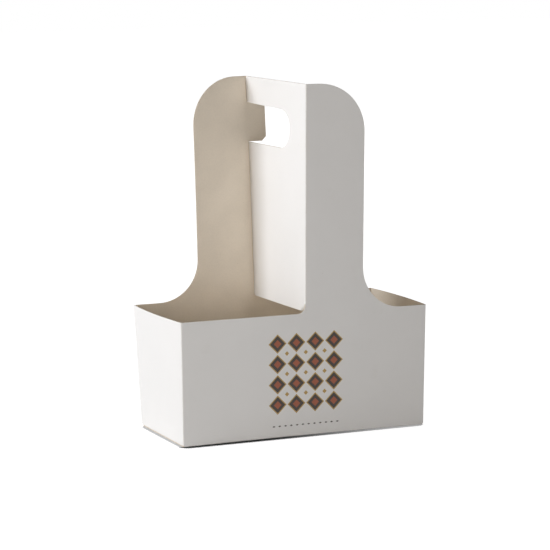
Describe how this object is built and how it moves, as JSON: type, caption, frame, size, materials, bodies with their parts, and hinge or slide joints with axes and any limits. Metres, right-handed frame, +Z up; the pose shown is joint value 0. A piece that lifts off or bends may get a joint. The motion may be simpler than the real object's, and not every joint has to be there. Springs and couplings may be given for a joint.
{
  "type": "cardboard cup carrier",
  "caption": "Open rectangular tray folded from white board, with an upright Z-shaped handle panel and a hand hole, for carrying two lidded cups side by side.",
  "frame": {"origin": "middle of the base's underside, in the plane that the carrier stands on", "axes": "+X along the tray's length to the right as seen from the front wall, +Y from the front wall to the rear wall, +Z up to the handle"},
  "size_m": [0.175, 0.076, 0.23],
  "materials": {
    "white_board": "matt white-faced board"
  },
  "bodies": {
    "root": {"folded_carrier": "white_board"}
  },
  "joints": []
}
